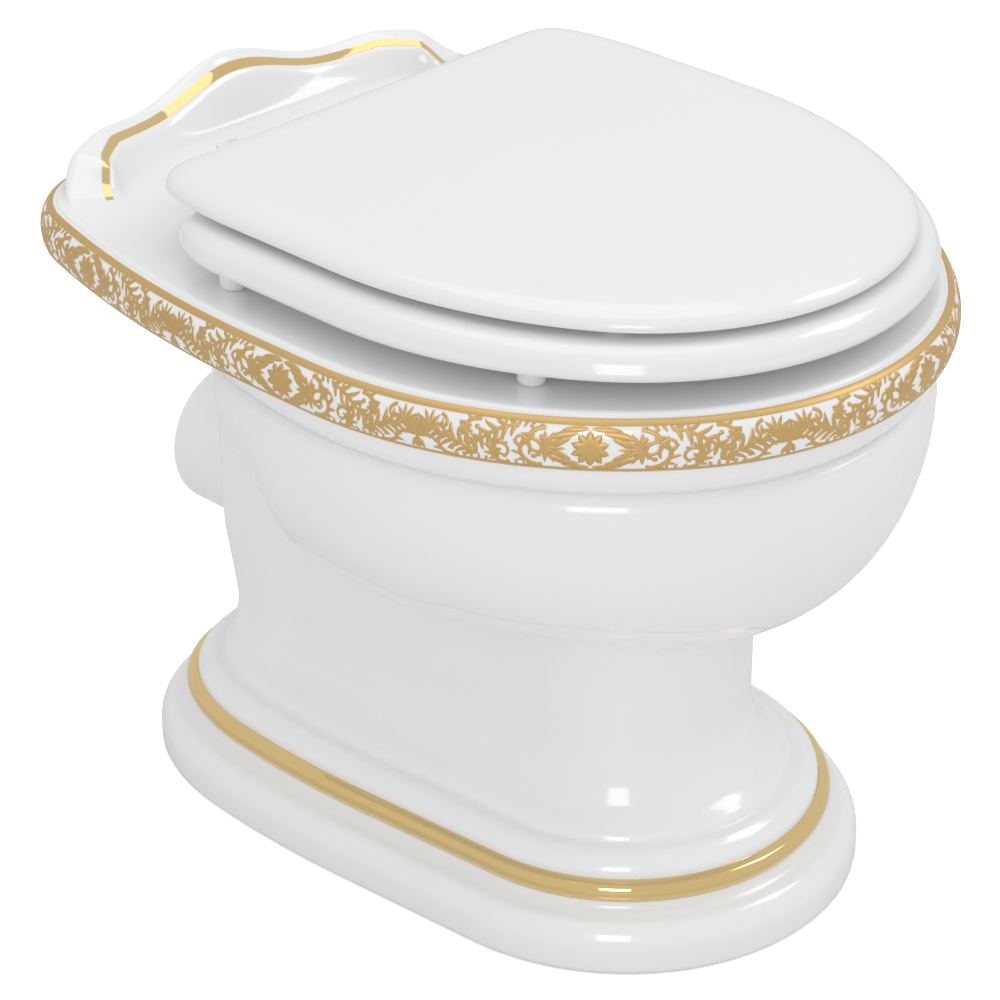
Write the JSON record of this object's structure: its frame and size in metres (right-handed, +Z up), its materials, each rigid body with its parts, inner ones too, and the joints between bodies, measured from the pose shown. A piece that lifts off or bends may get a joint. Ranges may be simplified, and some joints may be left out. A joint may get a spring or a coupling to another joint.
{
  "type": "floor-standing toilet",
  "caption": "Floor-standing toilet with a moulded pedestal, gilt acanthus frieze round the rim, shaped back upstand, horizontal outlet and a soft-close hinged seat and lid.",
  "frame": {"origin": "centre of the bounding box at floor level", "axes": "+Z up, the front of the bowl faces -Y, the plane of symmetry is x = 0"},
  "size_m": [0.4406, 0.5742, 0.4533],
  "materials": {
    "china": "white vitreous china under a clear mirror-smooth glaze",
    "gilding": "fired bright gold, mirror-like on the lines and lightly embossed in the frieze",
    "seat_plastic": "white moulded thermoset plastic, high gloss",
    "chrome": "polished chrome plate",
    "rubber": "matt dark rubber",
    "brass": "plain turned brass"
  },
  "bodies": {
    "pan": {"pan_rim": "china", "pan_bowl": "china", "pan_foot": "china", "trapway": "china", "outlet_spigot": "china", "inlet_horn": "china", "back_upstand": "china", "gilt_frieze_band": "gilding", "gilt_foot_bead": "gilding", "gilt_crest_line": "gilding", "flush_inlet_seal": "rubber", "hinge_base_left": "chrome", "hinge_base_right": "chrome", "fixing_bolt_left": "chrome", "fixing_bolt_right": "chrome", "expansion_bung_left": "rubber", "expansion_bung_right": "rubber", "bung_insert_left": "brass", "bung_insert_right": "brass"},
    "hinge_carriage": {"hinge_housing_left": "chrome", "hinge_housing_right": "chrome", "hinge_pin_left": "chrome", "hinge_pin_right": "chrome"},
    "button_left": {"release_button_left": "chrome"},
    "button_right": {"release_button_right": "chrome"},
    "ring": {"seat_ring": "seat_plastic", "seat_bumper_front_left": "seat_plastic", "seat_bumper_front_right": "seat_plastic", "seat_bumper_rear_left": "seat_plastic", "seat_bumper_rear_right": "seat_plastic", "ring_lug_left": "seat_plastic", "ring_lug_right": "seat_plastic", "ring_lug_screws": "chrome"},
    "lid_body": {"lid": "seat_plastic", "lid_bumper_left": "seat_plastic", "lid_bumper_right": "seat_plastic", "lid_lug_left": "seat_plastic", "lid_lug_right": "seat_plastic", "lid_lug_screws": "chrome"}
  },
  "joints": [
    {"name": "seat_lift", "type": "slide", "parent": "pan", "child": "hinge_carriage", "axis": [0, 0, 1], "range_m": [0, 0.03]},
    {"name": "ring_hinge", "type": "hinge", "parent": "hinge_carriage", "child": "ring", "pos_m": [0, 0.15325, 0.421], "axis": [-1, 0, 0], "range_deg": [0, 95]},
    {"name": "lid_hinge", "type": "hinge", "parent": "ring", "child": "lid_body", "pos_m": [0, 0.15325, 0.421], "axis": [1, 0, 0], "range_deg": [-100, 0]},
    {"name": "button_left_press", "type": "slide", "parent": "hinge_carriage", "child": "button_left", "axis": [0, -1, 0], "range_m": [0, 0.002], "stiffness_N_per_m": 800, "springref_m": -0.002},
    {"name": "button_right_press", "type": "slide", "parent": "hinge_carriage", "child": "button_right", "axis": [0, -1, 0], "range_m": [0, 0.002], "stiffness_N_per_m": 800, "springref_m": -0.002}
  ]
}
